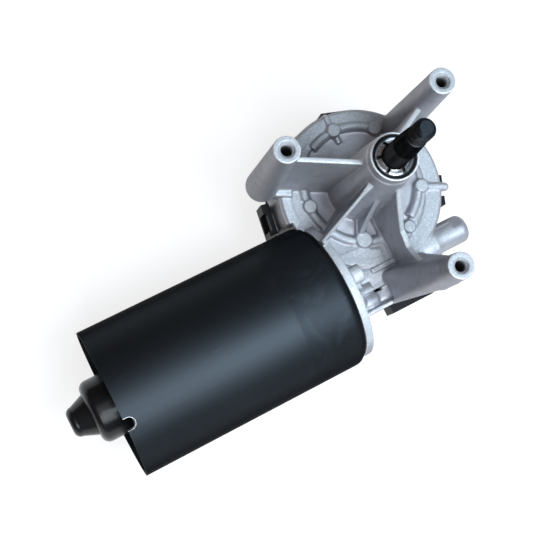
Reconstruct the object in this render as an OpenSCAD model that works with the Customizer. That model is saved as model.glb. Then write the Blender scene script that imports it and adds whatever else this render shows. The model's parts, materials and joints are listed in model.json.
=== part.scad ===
// Wiper motor: a brushed motor in a drawn steel can drives a worm, and the
// worm turns a wheel on a long output shaft in a die-cast housing.
// Frame: origin on the output shaft axis, level with the faces of the three
// mounting posts. +Z runs along the output shaft to its tip, and +X runs
// along the motor axis from the can to the worm end.

/* [Mounting posts] */
// Height of the post faces above the rim of the gear chamber
plate_drop = 72.6; // [68:0.2:78]
// Radius of each post at its face
post_face_r = 6.6; // [6.2:0.1:7.4]
// Draft of the posts for casting, in degrees
post_draft = 1.6; // [1:0.1:2]
// Radius of the tapped M8 hole in each post
post_tap_r = 3.4; // [3:0.1:4]
// Depth of the tapped hole in the post beside the can
post_tap_depth = 24; // [20:1:30]
// How much less deep each further post is tapped
post_tap_step = 2; // [1:0.5:3]
// Post beside the can, X
post_1_x = -48; // [-50:0.5:-46.5]
// Post beside the can, Y
post_1_y = 23; // [21:0.5:25]
// Post on the chamber rim, X
post_2_x = 35.5; // [34:0.5:37]
// Post on the chamber rim, Y
post_2_y = 21.7; // [20:0.5:23]
// Post beyond the worm, X
post_3_x = 0.8; // [-2:0.1:3]
// Post beyond the worm, Y
post_3_y = -59.6; // [-61:0.2:-57]

/* [Gear pair] */
// Module of the worm wheel
gear_module = 1.25; // [1.2:0.01:1.27]
// Number of teeth on the worm wheel
wheel_teeth = 55; // [52:1:56]
// Pitch radius of the worm
worm_pitch_r = 7.9; // [7.6:0.05:8.2]
// Length of the worm thread
worm_len = 28; // [22:1:32]
// Width of the wheel rim
wheel_w = 12; // [10:0.5:14]
// Play between the flanks of the gear pair, measured along the pitch line
backlash = 0.9; // [0.7:0.05:1.1]

/* [Gear housing] */
// Gap between the tips of the wheel and the wall of the gear chamber
chamber_gap = 1.1; // [1:0.1:1.6]
// Wall of the gear chamber at its rim
chamber_wall = 8.1; // [7.6:0.1:8.6]
// Height of the chamber rim above the motor axis
rim_above_axis = 14; // [13:0.2:15]
// Depth of the cover joint below the motor axis
joint_below_axis = 12.4; // [11.5:0.1:13.5]
// Thickness of the chamber roof
roof_t = 3; // [2.5:0.1:3.6]
// Depth of the ring-shaped recess in the roof
recess_depth = 2.4; // [1.5:0.1:3]
// Inside radius of the raised band round the roof, more than the chamber's
band_step = 0.2; // [0:0.1:0.6]
// Thickness of the webs that brace the hub
web_t = 2.6; // [2:0.1:3.4]
// Radius of the hub at its foot
hub_foot_r = 17; // [15.5:0.5:18.5]
// Outside radius of the machined collar round the output shaft
collar_r = 12; // [11.7:0.1:12.4]
// Depth of the collar below the post faces
collar_drop = 8; // [6:0.5:10]
// Thickness of the flange that the can bolts to
flange_t = 4.5; // [3.5:0.5:6]
// Outside radius of the round boss over the end of the worm
end_boss_r = 7.8; // [7:0.1:8.2]
// Distance of the tip of that boss from the output axis
end_boss_x = 48.5; // [44:0.5:50]

/* [Output shaft] */
// Radius of the output shaft in its bushes
shaft_r = 6.2; // [5.8:0.1:6.6]
// Height of the shaft tip above the post faces
shaft_tip = 38.4; // [34:0.2:42]
// Length of the M10 thread at the tip
shaft_thread_len = 12; // [10:0.5:15]
// Radius of the M10 thread
shaft_thread_r = 4.95; // [4.8:0.05:5.1]
// Length of the knurled cone below the thread
shaft_cone_len = 18; // [14:0.5:20]

/* [Motor] */
// Outside radius of the motor can
can_r = 40; // [39:0.5:41]
// Wall of the motor can
can_wall = 2; // [1.6:0.1:2.4]
// Length of the motor can
can_len = 127.5; // [122:0.5:132]
// Distance of the front of the can from the output axis
can_front = 37.5; // [36.5:0.5:39]
// Radius of the rounded front edge of the can
can_round = 5; // [4:0.5:6]
// Width of the locating notch in the rear rim of the can
notch_w = 6.4; // [5:0.2:8]
// Depth of that notch
notch_depth = 5; // [4:0.5:6]
// Place of that notch round the motor axis
notch_angle = 198.5; // [190:0.5:208]
// Radius of the round cap over the rear bearing
cap_r = 16.8; // [16:0.2:18]
// Distance that the round cap stands out of the can
cap_len = 11.5; // [10:0.5:13]
// Length of the tapered nose on the cap
nose_len = 11; // [9:0.5:12]
// Distance of the through bolts from the inside of the can
bolt_inset = 5.7; // [5.4:0.1:6]
// Number of slots in the armature core
core_slots = 12; // [10:2:14]
// Radius of the motor shaft
motor_shaft_r = 5; // [4.6:0.1:5.4]
// Number of magnets in the can
magnet_count = 4; // [2:2:4]
// Air gap between the armature and the magnets
air_gap = 0.8; // [0.6:0.1:1]

/* [Gear cover] */
// Thickness of the gear cover
cover_t = 2.6; // [2:0.1:3.4]
// Thickness of the gasket under the cover
gasket_t = 0.8; // [0.5:0.1:1.2]
// Distance that the snap lugs stand out from the cover
lug_out = 4; // [3.5:0.5:5]
// Length of the connector socket along the motor axis
socket_w = 26; // [24:1:30]
// Wall of the connector socket
socket_wall = 2; // [1.5:0.1:2.5]
// Number of screws that hold the cover
cover_screw_count = 5; // [4:1:6]

/* [Fits] */
// Radial play of the shafts in their bushes
run_fit = 0.04; // [0.02:0.01:0.08]
// Free gap between parts that turn past each other
turn_gap = 0.5; // [0.4:0.1:0.8]

/* [Hidden] */
$fn = 96;
tiny = 0.01;

// Levels along Z
rim_z = -plate_drop;
axis_z = rim_z - rim_above_axis;
joint_z = axis_z - joint_below_axis;
collar_z = -collar_drop;
recess_z = rim_z - recess_depth;
roof_z = recess_z - roof_t;

// Gear pair
wheel_pitch_r = gear_module * wheel_teeth / 2;
centre_distance = wheel_pitch_r + worm_pitch_r;
axis_y = -centre_distance;
addendum = gear_module;
dedendum = 1.35 * gear_module;
thread_lead = PI * gear_module;
wheel_tip_r = wheel_pitch_r + addendum;
wheel_root_r = wheel_pitch_r - dedendum;
carrier_r = 21;
park_disc_r = 26;
worm_tip_r = worm_pitch_r + addendum;
worm_root_r = worm_pitch_r - dedendum;
worm_core_r = motor_shaft_r + 0.02;
wheel_twist = 180 * wheel_w * thread_lead / (2 * PI * worm_pitch_r) / (PI * wheel_pitch_r);
tunnel_r = worm_tip_r + 1.2;
tube_r = tunnel_r + 3.1;

// Housing
chamber_r = wheel_tip_r + chamber_gap;
rim_r = chamber_r + chamber_wall;
band_in_r = chamber_r + band_step;
band_slope = 1.9;
band_shift = [-0.8, -0.5];
lip_r = rim_r + 1.6;
lip_t = 4;
flange_r = can_r - 2.2;
flange_x = -can_front;
ring_r = 31.8;
rib_shift = 2.4;
rim_shift = [0.7, -1.2];
rib_half = 2.4;
rib_sink = 0.7;
rib_r = norm([rib_half, rib_sink]);
pad_h = recess_depth - 0.1;
// Round pads on the roof: X, Y and radius
pads = [[-28.8, 2.7, 3.2], [1.8, 34, 3.2], [23.1, 25.9, 3.2], [31.6, -13, 3.2], [-11, -25.3, 4], [14.9, -29.8, 3]];
// Half-round rods between pads and over the band: X and Y of the start, direction, length, radius and lift
roof_rods = [[-28.8, 2.7, 84, 13, 2.5, -0.7], [1.4, 34, 90, 8, 2.2, 1.2], [2.2, 26.7, 90, 7, 1.8, -0.4],
  [31.4, -13, -25.5, 13.6, 2.4, 1.2], [-7.5, -17.5, 245, 9, 2, -0.4]];
end_boss_start = 26;
box_x0 = flange_x;
box_x1 = 8;
box_y = axis_y - 20;
box_top = rim_z - 2;
bearing_r = 11;
bearing_w = 8;
bearing_boss_r = bearing_r + 4;
bolt_circle_r = can_r - can_wall - bolt_inset;
bolt_angles = [176, 356];
bolt_r = 2.5;
bolt_boss_r = 4.8;
bolt_boss_len = 6.5;
can_gap = 1.5;

// Output shaft and what sits on it
bush_r = shaft_r + 2.6;
upper_bush_len = 18;
lower_bush_len = 15;
pocket_r = 10.9;
pocket_depth = 3.4;
pocket_z = collar_z - pocket_depth;
washer_t = 1;
cone_top_r = shaft_thread_r + 0.4;
thread_start = shaft_tip - shaft_thread_len;
cone_start = thread_start - shaft_cone_len;
carrier_t = 3;
carrier_z = axis_z - wheel_w / 2;
shaft_foot = joint_z + 2;

// Motor
can_rear = flange_x - can_len;
can_in_r = can_r - can_wall;
cover_inset = 7;
end_plate_t = 3;
end_plate_x = can_rear + cover_inset;
cap_x = can_rear - cap_len;
nose_x = cap_x - nose_len;
nose_base_r = 11.2;
nose_tip_r = 8;
nose_round = 3.5;
core_r = bolt_circle_r - bolt_r - air_gap;
magnet_in_r = core_r + air_gap;
magnet_arc = 360 / magnet_count - 24;
comm_r = 12;
comm_len = 17;
comm_x = flange_x - 26;
winding_h = 9;
winding_gap = 0.5;
core_x = can_rear + 30;
core_len = comm_x - winding_gap - winding_h - core_x;
magnet_len = core_len + 4;
magnet_x = core_x - 2;
clip_arc = 18;
brush_plate_x = flange_x - 12;
brush_plate_t = 3;
brush_w = 8;
brush_len = 13;
brush_h = 6;
spigot_r = 30;
rear_journal_x = nose_x + 4;
worm_half = worm_len / 2;
worm_neck_x = worm_half + 2;
end_bush_x = end_boss_start + 2;
end_bush_len = 8;
shaft_end_x = end_bush_x + end_bush_len + 1;
ball_r = 2.4;
pad_x = shaft_end_x - 1.5 + 2 * ball_r + 0.1;

// Cover
gasket_z = joint_z - gasket_t;
cover_z = gasket_z - cover_t;
cover_drop = 6;
dish_r = chamber_r - 1.5;
// Snap lugs: angle, width, height and how far the prongs stand out
lugs = [[171, 20, 14, lug_out + 0.4], [73.6, 17, 12, lug_out - 1.6], [-20.4, 16.8, 14, lug_out + 0.6]];
lug_wall = 2.4;
prong_w = 5;
socket_x = 7;
socket_h = 13;
socket_depth = 15;
socket_y = box_y - 5.2;
socket_top = gasket_z;
screw_r = 1.9;
screw_head_r = 3.6;
screw_len = 10;
screw_ring_r = chamber_r + chamber_wall / 2 - 0.2;
pin_count = 4;
pin_inset = 6;

// Puts local Z on the motor axis, pointing to the worm end, from X = x
module on_motor_axis(x = 0) {
  translate([x, axis_y, axis_z]) rotate([0, 90, 0]) children();
}

// A tube or disc of outer radius r and inner radius bore
module ring(r, bore, h) {
  difference() {
    cylinder(r = r, h = h);
    translate([0, 0, -1]) cylinder(r = bore, h = h + 2);
  }
}

// A fin in the upright plane through the output axis at one angle.
// The outline is in radius and height.
module fin(angle, thickness, outline) {
  rotate([0, 0, angle]) rotate([90, 0, 0])
    translate([0, 0, -thickness / 2]) linear_extrude(height = thickness) polygon(outline);
}

// The joint outline of the housing: the round chamber and the worm side
module joint_outline(grow = 0) {
  translate(rim_shift) circle(r = lip_r + grow);
  translate([flange_x + flange_t, box_y - grow])
    square([end_boss_start - flange_x - flange_t + grow, -box_y + 2 * grow - 4]);
}

// The hollow that the cover closes
module joint_hollow(shrink = 0) {
  circle(r = chamber_r - shrink);
  translate([-24 + shrink, axis_y - tunnel_r - 3 + shrink])
    square([46 - 2 * shrink, tunnel_r + 16 - 2 * shrink]);
}

// One tapered post that stands on the level foot
module post(x, y, foot) {
  foot_r = post_face_r - foot * tan(post_draft);
  translate([x, y, foot]) cylinder(r1 = foot_r, r2 = post_face_r, h = -foot);
}

// Tapped hole of post number i, counted from 0
module post_hole(i, x, y) {
  chamfer = 0.8;
  depth = post_tap_depth - i * post_tap_step;
  translate([x, y, -depth]) cylinder(r = post_tap_r, h = depth + 1);
  translate([x, y, -chamfer]) cylinder(r1 = post_tap_r, r2 = post_tap_r + 2 * chamfer, h = 2 * chamfer);
}

// Half-round stiffening ribs along a ring, the round pads on it and the rods between them
module roof_ribs() {
  spans = [[146, 172], [178, 205], [213, 242], [250, 270], [300, 333], [52, 84], [92, 119]];
  intersection() {
    translate([rib_shift, rib_shift, recess_z])
      for (span = spans) rotate([0, 0, span[0]])
        rotate_extrude(angle = span[1] - span[0]) translate([ring_r, -rib_sink]) circle(r = rib_r, $fn = 24);
    translate([0, 0, recess_z - 1]) cylinder(r = rim_r, h = 1 + rib_r);
  }
  for (pad = pads) translate([pad[0], pad[1], recess_z - 1]) cylinder(r = pad[2], h = 1 + pad_h);
  for (rod = roof_rods) translate([rod[0], rod[1], recess_z + rod[5]]) rotate([0, 0, rod[2]]) {
    rotate([0, 90, 0]) cylinder(r = rod[4], h = rod[3], $fn = 24);
    translate([rod[3], 0, 0]) sphere(r = rod[4], $fn = 24);
  }
}

// The fins that brace the tall hub against the posts, the flange and the roof
module hub_webs() {
  low = recess_z - 1;
  post_1_a = atan2(post_1_y, post_1_x);
  post_2_a = atan2(post_2_y, post_2_x);
  post_3_a = atan2(post_3_y, post_3_x);
  post_1_d = norm([post_1_x, post_1_y]);
  post_2_d = norm([post_2_x, post_2_y]);
  post_3_d = norm([post_3_x, post_3_y]);
  web_top = -19;
  dip_z = rim_z + 24;
  fin(post_1_a, web_t, [[bush_r + 1, low], [post_1_d, low], [post_1_d, web_top + 4], [collar_r + 1, web_top], [bush_r + 1, web_top]]);
  fin(post_2_a, web_t, [[bush_r + 1, low], [post_2_d, low], [post_2_d, -22], [post_2_d - 7, -24], [bush_r + 1, -48]]);
  fin(206, web_t + 0.6, [[bush_r + 1, low], [-flange_x, low], [-flange_x + 4.5, -54], [bush_r + 1, -18]]);
  fin(243, web_t, [[bush_r + 1, low], [27, low], [25, recess_z + 3], [19, -54], [bush_r + 1, -24]]);
  fin(post_3_a, web_t + 0.4,
    [[bush_r + 1, low], [post_3_d, low], [post_3_d, dip_z + 14.6], [46, dip_z + 3.6], [40, dip_z], [31, dip_z + 3],
     [20, dip_z + 16], [bush_r + 1, web_top + 1]]);
  // Most webs are thicker at the foot
  for (foot = [[post_2_a, post_2_d], [206, -flange_x], [243, 27], [post_3_a, 40]])
    fin(foot[0], web_t + 2.4, [[bush_r + 1, low], [foot[1], low], [foot[1] - 1, recess_z + 3], [bush_r + 1, recess_z + 3]]);
}

// The broad arm that carries the post beyond the worm, and leans out to it
module post_3_arm() {
  foot = [[-9, -59.5], [9, -61], [-8, -48], [13, -48]];
  hull() {
    translate([post_3_x, post_3_y, -22]) cylinder(r = post_face_r + 0.6, h = 8, $fn = 32);
    for (p = foot) translate([p[0], p[1], rim_z - 8]) cylinder(r = 3, h = 8, $fn = 32);
  }
}

// Chamber drum with a softened rim, a lip at the joint and a recess that leaves a band round its roof
module drum() {
  difference() {
    translate(rim_shift) rotate_extrude() polygon([[0, joint_z], [lip_r, joint_z], [lip_r, joint_z + lip_t],
      [rim_r + 0.6, joint_z + lip_t + 1], [rim_r, rim_z - 1.5], [rim_r - 1.5, rim_z], [0, rim_z]]);
    translate([band_shift[0], band_shift[1], recess_z])
      cylinder(r1 = band_in_r - band_slope, r2 = band_in_r + band_slope, h = 2 * recess_depth);
    // The band is cut back where it meets the worm side
    translate([0, 0, recess_z]) rotate([0, 0, 222]) rotate_extrude(angle = 40)
      translate([band_in_r + 3.9, 0]) square([16, 6]);
    translate([0, 0, recess_z]) rotate([0, 0, 262]) rotate_extrude(angle = 9)
      translate([band_in_r - 1.9, 0]) square([22, 6]);
  }
}

// Outside of the casting
module housing_outside() {
  union() {
    drum();
    // Worm side, level with the lip, the worm tube and the bearing boss
    translate([0, 0, joint_z]) linear_extrude(height = lip_t) joint_outline();
    intersection() {
      on_motor_axis(flange_x) union() {
        cylinder(r = tube_r, h = end_boss_start - flange_x);
        cylinder(r = bearing_boss_r, h = 14);
      }
      translate([flange_x, axis_y - bearing_boss_r, joint_z])
        cube([end_boss_start - flange_x, 2 * bearing_boss_r, 2 * bearing_boss_r]);
    }
    translate([flange_x, axis_y - tube_r, joint_z]) cube([end_boss_start - flange_x, tube_r * 2, -joint_z + axis_z]);
    on_motor_axis(end_boss_start - 1) end_boss();
    // Box beside the worm tube
    translate([box_x0, box_y, joint_z]) cube([box_x1 - box_x0, -box_y + axis_y, box_top - joint_z]);
    // Flange for the can and its bolt bosses
    on_motor_axis(flange_x) cylinder(r = flange_r, h = flange_t);
    side_ridges();
    for (a = bolt_angles) on_motor_axis(flange_x) rotate([0, 0, a]) translate([bolt_circle_r, 0, 0])
      cylinder(r = bolt_boss_r, h = flange_t + bolt_boss_len);
    // Posts, and the foot that joins the first one to the drum
    post(post_1_x, post_1_y, rim_z + 4);
    translate([post_1_x, post_1_y, rim_z + 4]) sphere(r = post_face_r - (rim_z + 4) * tan(post_draft), $fn = 48);
    post(post_2_x, post_2_y, rim_z - 4);
    post(post_3_x, post_3_y, -30);
    rotate([0, 0, atan2(post_1_y, post_1_x)]) translate([rim_r - 8, -5, rim_z - 6]) cube([16, 10, 8]);
    post_3_arm();
    // Hub, collar, webs and ribs
    translate([0, 0, roof_z]) cylinder(r1 = hub_foot_r, r2 = collar_r + 0.6, h = collar_z - 6 - roof_z);
    translate([0, 0, collar_z - 7]) cylinder(r = collar_r, h = 7);
    hub_webs();
    roof_ribs();
  }
}

// Ridges on the roof beside the flange, over the brush leads and along the worm
module side_ridges() {
  translate([flange_x, axis_y - 8.2, rim_z - 3.4]) rotate([0, 90, 0]) cylinder(r = 4.7, h = 18.5);
  translate([-15, axis_y - 1, rim_z - 3]) cube([18, 2.5, 3.6]);
}

// Deep pocket between the worm tube and the outer wall, round a flat island
module side_pocket() {
  depth = 9;
  len = 23.5;
  difference() {
    translate([flange_x + flange_t, box_y + 2.4, box_top - depth]) cube([len, 8.6, depth + 4]);
    translate([flange_x + flange_t + 1, box_y + 4.6, box_top - depth - 1]) cube([len - 3, 5, depth - 2]);
  }
}

// Room for the can, up to a distance past the face that the can bolts to
module can_room(past = 0) {
  half = can_r + can_gap;
  translate([flange_x - 60, axis_y - half - 40, axis_z - half]) cube([60 + past, 2 * half + 40, 2 * half]);
}

// Round boss over the worm end, with a domed tip and two cast flats
module end_boss() {
  len = end_boss_x - end_boss_start + 1;
  difference() {
    rotate_extrude() polygon(concat([[0, 0], [end_boss_r + 1.2, 0], [end_boss_r, 6]],
      [for (a = [0 : 15 : 75]) [end_boss_r - 4 + 4 * cos(a), len - 4 + 4 * sin(a)]], [[0, len]]));
    for (a = [146, 199]) rotate([0, 0, a]) translate([end_boss_r - 0.7, -8, len - 9]) cube([4, 16, 6]);
  }
}

module gear_housing() color("gainsboro") {
  difference() {
    housing_outside();
    // Gear chamber and worm tunnel
    translate([0, 0, joint_z - 1]) cylinder(r = chamber_r, h = roof_z - joint_z + 1);
    translate([0, 0, joint_z - 1]) linear_extrude(height = axis_z - joint_z + 1 - 2) joint_hollow();
    on_motor_axis(-26) cylinder(r = tunnel_r, h = 48);
    // Motor side: bearing seat, spigot mouth and the way through for the shaft
    on_motor_axis(flange_x - 1) cylinder(r = bearing_r, h = bearing_w + 1);
    on_motor_axis(flange_x - 1) cylinder(r = motor_shaft_r + turn_gap + 1, h = 30);
    // Worm end: bush seat and the room for the ball and its pad
    on_motor_axis(0) cylinder(r = motor_shaft_r + 0.8, h = end_bush_x + end_bush_len);
    on_motor_axis(0) cylinder(r = ball_r + 0.5, h = pad_x + 3);
    // Hub bore with its two bush seats, and the pocket in the collar
    translate([0, 0, roof_z - 1]) cylinder(r = shaft_r + 1.2, h = collar_z - roof_z + 2);
    translate([0, 0, roof_z - 1]) cylinder(r = bush_r, h = lower_bush_len + 1);
    translate([0, 0, pocket_z - upper_bush_len]) cylinder(r = bush_r, h = upper_bush_len + 1);
    translate([0, 0, pocket_z]) cylinder(r = pocket_r, h = pocket_depth + 1);
    // Tapped holes
    post_hole(0, post_1_x, post_1_y);
    post_hole(1, post_2_x, post_2_y);
    post_hole(2, post_3_x, post_3_y);
    for (a = bolt_angles) on_motor_axis(flange_x - 1) rotate([0, 0, a]) translate([bolt_circle_r, 0, 0])
      cylinder(r = bolt_r, h = flange_t + bolt_boss_len);
    for (p = screw_places()) translate([p[0], p[1], joint_z - 1]) cylinder(r = screw_r, h = screw_len);
    side_pocket();
    can_room();
  }
}

// Screws stand round the chamber wall, clear of the worm side
function screw_places() =
  [for (i = [0 : cover_screw_count - 1]) let (a = -24 + i * 186 / (cover_screw_count - 1))
    [screw_ring_r * cos(a), screw_ring_r * sin(a)]];

module upper_bush() color("peru")
  translate([0, 0, pocket_z - upper_bush_len]) ring(bush_r, shaft_r + run_fit, upper_bush_len);

module lower_bush() color("peru")
  translate([0, 0, roof_z]) ring(bush_r, shaft_r + run_fit, lower_bush_len);

// Rubber ring in the collar, round the shaft
module shaft_seal() color("black")
  translate([0, 0, pocket_z]) ring(pocket_r, shaft_r + 0.3, 1.2);

module can_profile() {
  rounded = [for (a = [0 : 15 : 90]) [can_r - can_round + can_round * sin(a), -can_round + can_round * cos(a)]];
  inner = can_round - can_wall;
  hollow = [for (a = [90 : -15 : 0]) [can_r - can_round + inner * sin(a), -can_round + inner * cos(a)]];
  polygon(concat([[spigot_r, -can_wall], [spigot_r, 0]], rounded, [[can_r, -can_len], [can_in_r, -can_len]], hollow));
}

module motor_can() color("#202225")
  difference() {
    on_motor_axis(flange_x) rotate_extrude($fn = 128) can_profile();
    // Locating notch with a round end
    on_motor_axis(can_rear) rotate([0, 0, notch_angle]) translate([can_in_r - 3, 0, 0]) rotate([0, 90, 0]) {
      translate([-notch_depth + notch_w / 2, 0, 0]) cylinder(r = notch_w / 2, h = can_wall + 8);
      translate([-notch_depth + notch_w / 2, -notch_w / 2, 0]) cube([notch_depth + 4, notch_w, can_wall + 8]);
    }
    for (a = bolt_angles) on_motor_axis(flange_x - 2 * can_round) rotate([0, 0, a]) translate([bolt_circle_r, 0, 0])
      cylinder(r = bolt_r + 0.3, h = 4 * can_round);
  }

// End plate of the can with the round bearing cap and its nose
module rear_cover() color("#141516") {
  edge = 4.5;
  wall = 2.4;
  on_motor_axis(0) difference() {
    rotate_extrude($fn = 128) polygon(concat(
      [[0, nose_x]],
      [for (a = [0 : 15 : 90]) [nose_tip_r - nose_round * (1 - sin(a)), nose_x + nose_round * (1 - cos(a))]],
      [[nose_base_r, cap_x]],
      [for (a = [90 : -15 : 0]) [cap_r - edge + edge * cos(a), cap_x + edge - edge * sin(a)]],
      [[cap_r, end_plate_x - 1.5], [cap_r + 1.5, end_plate_x], [can_in_r, end_plate_x],
       [can_in_r, end_plate_x + end_plate_t], [0, end_plate_x + end_plate_t]]));
    translate([0, 0, cap_x + wall + 0.6]) cylinder(r = bearing_r, h = cap_len + cover_inset + end_plate_t);
    translate([0, 0, nose_x + 2]) cylinder(r = motor_shaft_r + 0.2, h = nose_len + cap_len);
    for (a = bolt_angles) rotate([0, 0, a]) translate([bolt_circle_r, 0, end_plate_x - 1])
      cylinder(r = bolt_r + 0.2, h = end_plate_t + 2);
  }
}

// A ball bearing drawn as its two races and the balls
module ball_bearing(bore, r, w) {
  race = (r - bore) * 0.28;
  mid = (r + bore) / 2;
  ball = (r - bore) * 0.24;
  difference() {
    union() {
      ring(r, r - race, w);
      ring(bore + race, bore, w);
      translate([0, 0, w * 0.35]) ring(r - race + tiny, bore + race - tiny, w * 0.3);
    }
    for (a = [0 : 40 : 359]) rotate([0, 0, a]) translate([mid, 0, -1]) cylinder(r = ball * 0.4, h = w + 2, $fn = 24);
  }
}

module rear_bearing() color("silver")
  on_motor_axis(cap_x + 3) ball_bearing(motor_shaft_r + run_fit, bearing_r, bearing_w);

module front_bearing() color("silver")
  on_motor_axis(flange_x) ball_bearing(motor_shaft_r + run_fit, bearing_r, bearing_w);

// Spring plate that holds the front bearing in its seat
module bearing_retainer() color("lightsteelblue")
  on_motor_axis(flange_x - 1) difference() {
    cylinder(r = 20, h = 1);
    translate([0, 0, -1]) cylinder(r = 8, h = 3);
    for (a = [0 : 60 : 300]) rotate([0, 0, a]) translate([11, -1, -1]) cube([5, 2, 3]);
  }

// A block bent round the axis between two radii
module arc_block(r0, r1, angle, h) {
  rotate([0, 0, -angle / 2]) rotate_extrude(angle = angle) translate([r0, 0]) square([r1 - r0, h]);
}

module magnets() color("dimgray")
  for (i = [0 : magnet_count - 1]) on_motor_axis(magnet_x) rotate([0, 0, bolt_angles[0] + (i + 0.5) * 360 / magnet_count])
    arc_block(magnet_in_r, can_in_r, magnet_arc, magnet_len);

module magnet_clips() color("lightgray")
  for (side = [-90, 90]) on_motor_axis(magnet_x + 6) rotate([0, 0, bolt_angles[0] + side])
    arc_block(can_in_r - 1.2, can_in_r, clip_arc, magnet_len - 12);

module brush_plate() color("saddlebrown")
  on_motor_axis(brush_plate_x) difference() {
    cylinder(r = can_in_r - 4, h = brush_plate_t);
    translate([0, 0, -1]) cylinder(r = comm_r + 2, h = brush_plate_t + 2);
    for (a = bolt_angles) rotate([0, 0, a]) translate([bolt_circle_r, 0, -1])
      cylinder(r = bolt_r + 1, h = brush_plate_t + 2);
  }

brush_angles = [for (i = [0 : 3]) bolt_angles[0] + 45 + i * 90];

module brush_holders() color("goldenrod")
  for (a = brush_angles) on_motor_axis(brush_plate_x - brush_h - 2) rotate([0, 0, a]) difference() {
    translate([comm_r + 2.5, -brush_w / 2 - 1, 0]) cube([13.5, brush_w + 2, brush_h + 2]);
    translate([comm_r + 1.5, -brush_w / 2, 1]) cube([18, brush_w, brush_h]);
  }

module brushes() color("#3a3a3c")
  for (a = brush_angles) on_motor_axis(brush_plate_x - brush_h - 1) rotate([0, 0, a])
    translate([comm_r + 0.3, -brush_w / 2, 0]) cube([brush_len - 4, brush_w, brush_h]);

module brush_springs() color("silver")
  for (a = brush_angles) on_motor_axis(brush_plate_x - brush_h / 2 - 1) rotate([0, 0, a])
    translate([comm_r + 0.3 + brush_len - 4, 0, 0]) rotate([0, 90, 0]) for (k = [0 : 2])
      translate([0, 0, k * 2.4]) ring(2.6, 1.7, 2.4);

// Long bolts through the can, with their heads on the end plate
module through_bolts() color("silver")
  for (a = bolt_angles) on_motor_axis(0) rotate([0, 0, a]) translate([bolt_circle_r, 0, 0]) {
    translate([0, 0, end_plate_x - 4]) cylinder(r = 4.6, h = 4, $fn = 6);
    translate([0, 0, end_plate_x - 0.1]) cylinder(r = bolt_r, h = flange_x + flange_t + bolt_boss_len - 2 - end_plate_x);
  }

// Plastic cover with a dished floor, snap lugs and the connector socket
module gear_cover() color("#17181a") {
  difference() {
    union() {
      translate([0, 0, cover_z]) linear_extrude(height = cover_t) joint_outline(0.4);
      translate([0, 0, cover_z - cover_drop]) cylinder(r1 = dish_r - 3, r2 = dish_r, h = cover_drop);
      for (lug = lugs) translate(rim_shift) rotate([0, 0, lug[0]]) cover_lug(lug[1], lug[2], lug[3]);
      socket_body();
      for (a = [0 : 60 : 300]) rotate([0, 0, a]) translate([8, -0.8, cover_z - cover_drop - 1.2]) cube([24, 1.6, 2]);
      translate([0, 0, cover_z - cover_drop - 1.2]) cylinder(r = 9, h = 3);
    }
    translate([0, 0, cover_z - cover_drop + cover_t]) cylinder(r1 = dish_r - 5.2, r2 = dish_r - 2.4, h = cover_drop + 0.1);
    for (p = screw_places()) translate([p[0], p[1], cover_z - 1]) cylinder(r = screw_r + 0.2, h = cover_t + 2);
    socket_hollow();
    can_room(flange_t + turn_gap);
  }
}

// Snap lug: a wall beside the drum with a window, and two prongs at its ends
module cover_lug(w, h, out) {
  start = lip_r + 0.4;
  translate([start - 3, -w / 2, cover_z]) cube([out + 3, w, cover_t]);
  difference() {
    translate([start, -w / 2, cover_z]) cube([lug_wall, w, h]);
    translate([start - 1, prong_w - w / 2, cover_z + 5]) cube([lug_wall + 2, w - 2 * prong_w, 3.6]);
  }
  for (side = [-1, 1]) translate([start, side * (w - prong_w) / 2 - prong_w / 2, cover_z]) cube([out, prong_w, h]);
}

module socket_body() {
  translate([socket_x - socket_w / 2, socket_y, socket_top - socket_h])
    cube([socket_w, socket_depth, socket_h]);
}

module socket_hollow() {
  translate([socket_x - socket_w / 2 + socket_wall, socket_y - 1, socket_top - socket_h + socket_wall])
    cube([socket_w - 2 * socket_wall, socket_depth - 2, socket_h - 2 * socket_wall]);
}

module cover_gasket() color("#26221f")
  translate([0, 0, gasket_z]) linear_extrude(height = gasket_t) difference() {
    joint_outline();
    joint_hollow();
    projection() can_room(flange_t + turn_gap);
    for (p = screw_places()) translate(p) circle(r = screw_r + 0.3);
  }

module cover_screws() color("silver")
  for (p = screw_places()) translate([p[0], p[1], 0]) difference() {
    union() {
      translate([0, 0, cover_z - 2.2]) cylinder(r = screw_head_r, h = 2.2);
      translate([0, 0, cover_z]) cylinder(r = screw_r, h = joint_z + screw_len - 2 - cover_z);
    }
    translate([0, 0, cover_z - 3]) cylinder(r = 1.8, h = 2, $fn = 6);
  }

// Three leaf springs on the cover that wipe the park disc
module park_contacts() color("goldenrod")
  for (i = [0 : 2]) translate([0, -22 + i * 6, cover_z - cover_drop + cover_t]) rotate([90, 0, 0]) {
    rise = carrier_z - 1 - 0.3 - (cover_z - cover_drop + cover_t);
    linear_extrude(height = 3) polygon([[-8, 0], [2, 0], [14, rise - 1.4], [17, rise - 0.6], [20, rise - 1.4],
      [20, rise - 0.8], [17, rise], [13.6, rise - 0.8], [1.6, 0.6], [-8, 0.6]]);
  }

module socket_pins() color("goldenrod")
  for (i = [0 : pin_count - 1])
    translate([socket_x - socket_w / 2 + socket_w * (i + 1) / (pin_count + 1) - 1, socket_y + pin_inset, socket_top - socket_h / 2 - 0.4])
      cube([2, socket_depth - 3 - pin_inset, 0.8]);

module thrust_pad() color("white")
  on_motor_axis(pad_x) cylinder(r = ball_r + 0.4, h = 2.4);

module worm_end_bush() color("peru")
  on_motor_axis(end_bush_x) ring(motor_shaft_r + 0.8, motor_shaft_r - 0.6 + run_fit, end_bush_len);

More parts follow.
